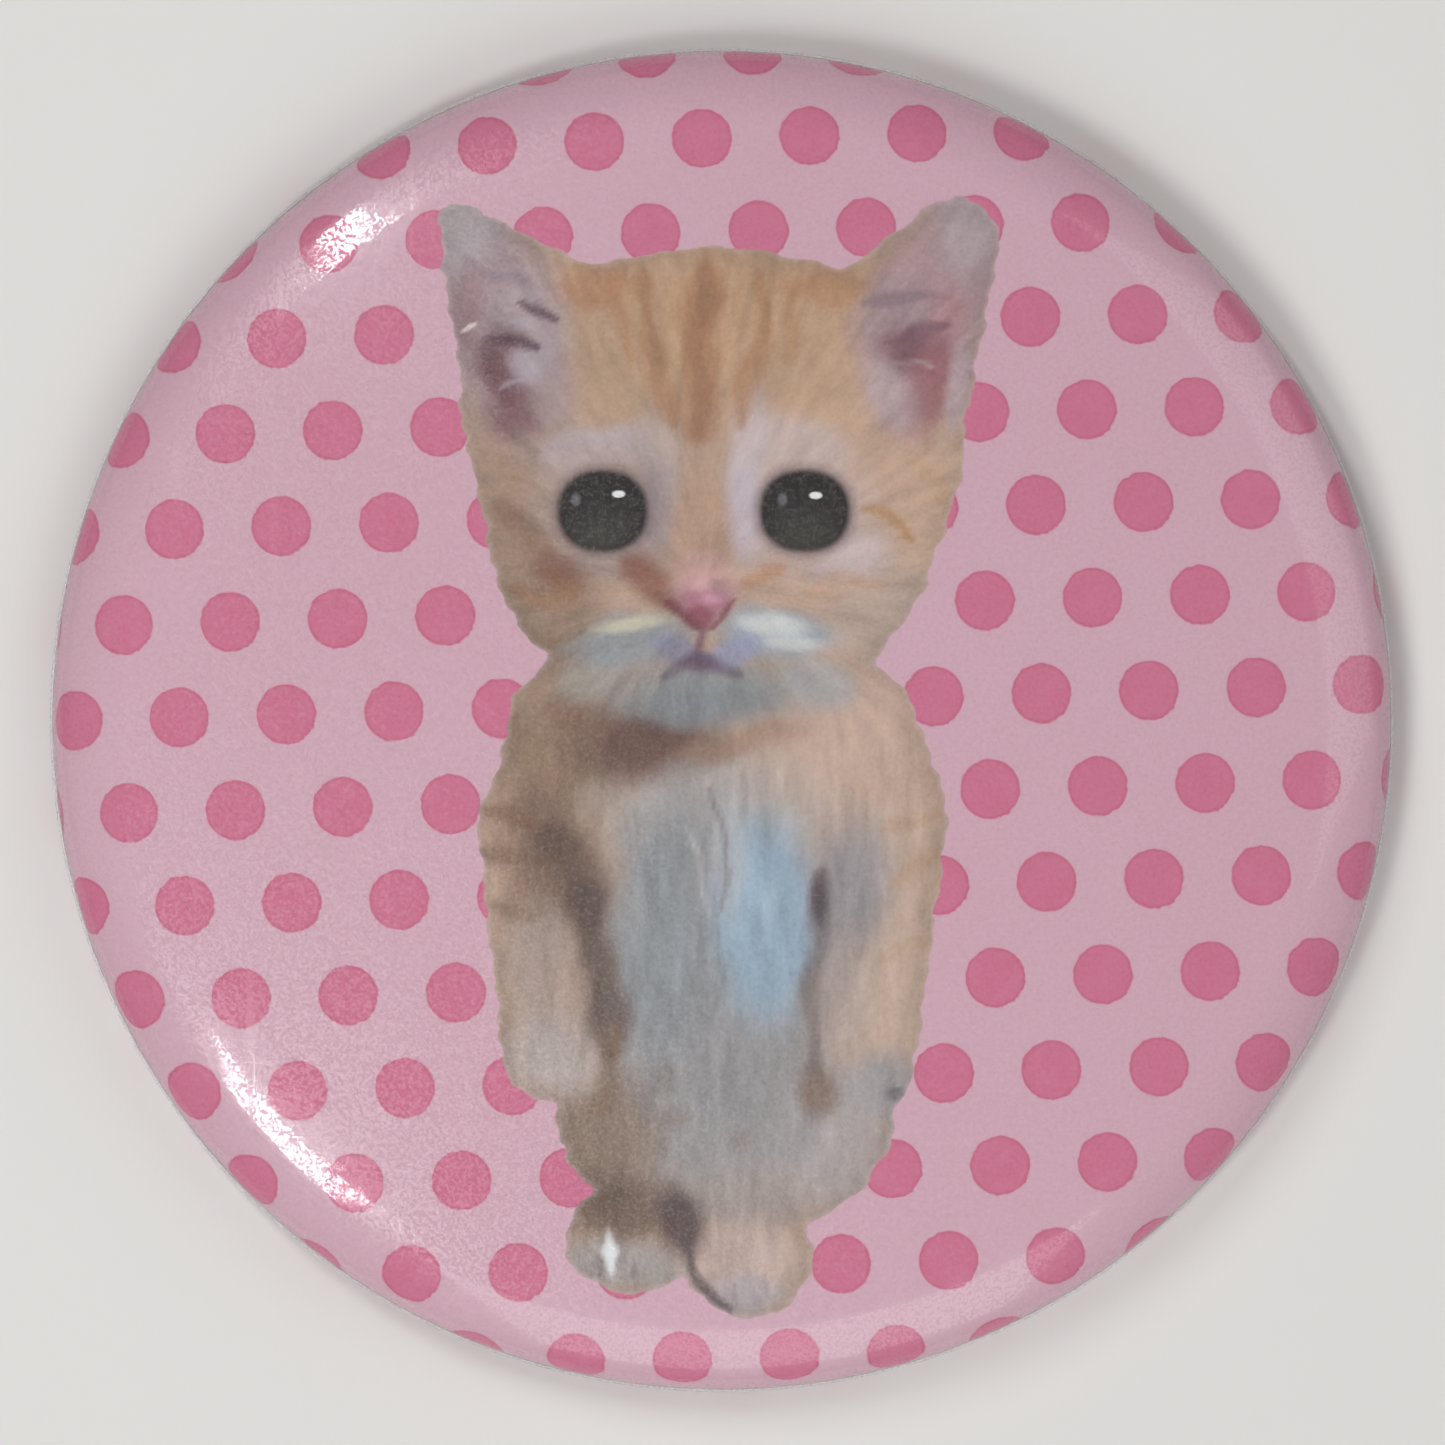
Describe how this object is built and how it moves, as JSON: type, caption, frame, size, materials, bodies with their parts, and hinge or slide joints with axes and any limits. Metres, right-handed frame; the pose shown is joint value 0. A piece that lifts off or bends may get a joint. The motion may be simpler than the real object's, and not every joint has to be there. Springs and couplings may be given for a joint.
{
  "type": "pin-back button badge",
  "caption": "Round domed pin-back button badge, printed with a kitten on a dotted ground, with a spring wire pin across its dished metal back.",
  "frame": {"origin": "centre of the ring under the rim that the badge lies on", "axes": "+Z out through the printed face, +Y up as worn, +X to the right seen from the front, from the pin's spring bend towards its catch"},
  "size_m": [0.058, 0.058, 0.006],
  "materials": {
    "clear_film": "clear PET film, glossy",
    "printed_paper": "printed paper: ginger kitten on a dusty pink dotted ground",
    "shell_tinplate": "bright tinplate",
    "plate_tinplate": "bright tinplate with faint rolling lines",
    "spring_wire": "nickel-plated spring wire"
  },
  "bodies": {
    "badge": {"clear_film": "clear_film", "printed_paper": "printed_paper", "front_shell": "shell_tinplate", "back_plate": "plate_tinplate", "spring_leg": "spring_wire"},
    "needle": {"needle": "spring_wire"}
  },
  "joints": [
    {"name": "needle_open", "type": "hinge", "parent": "badge", "child": "needle", "pos_m": [-0.01395, 0.003, 0.0017], "axis": [0, 0.4226, 0.9063], "range_deg": [0, 35]}
  ]
}
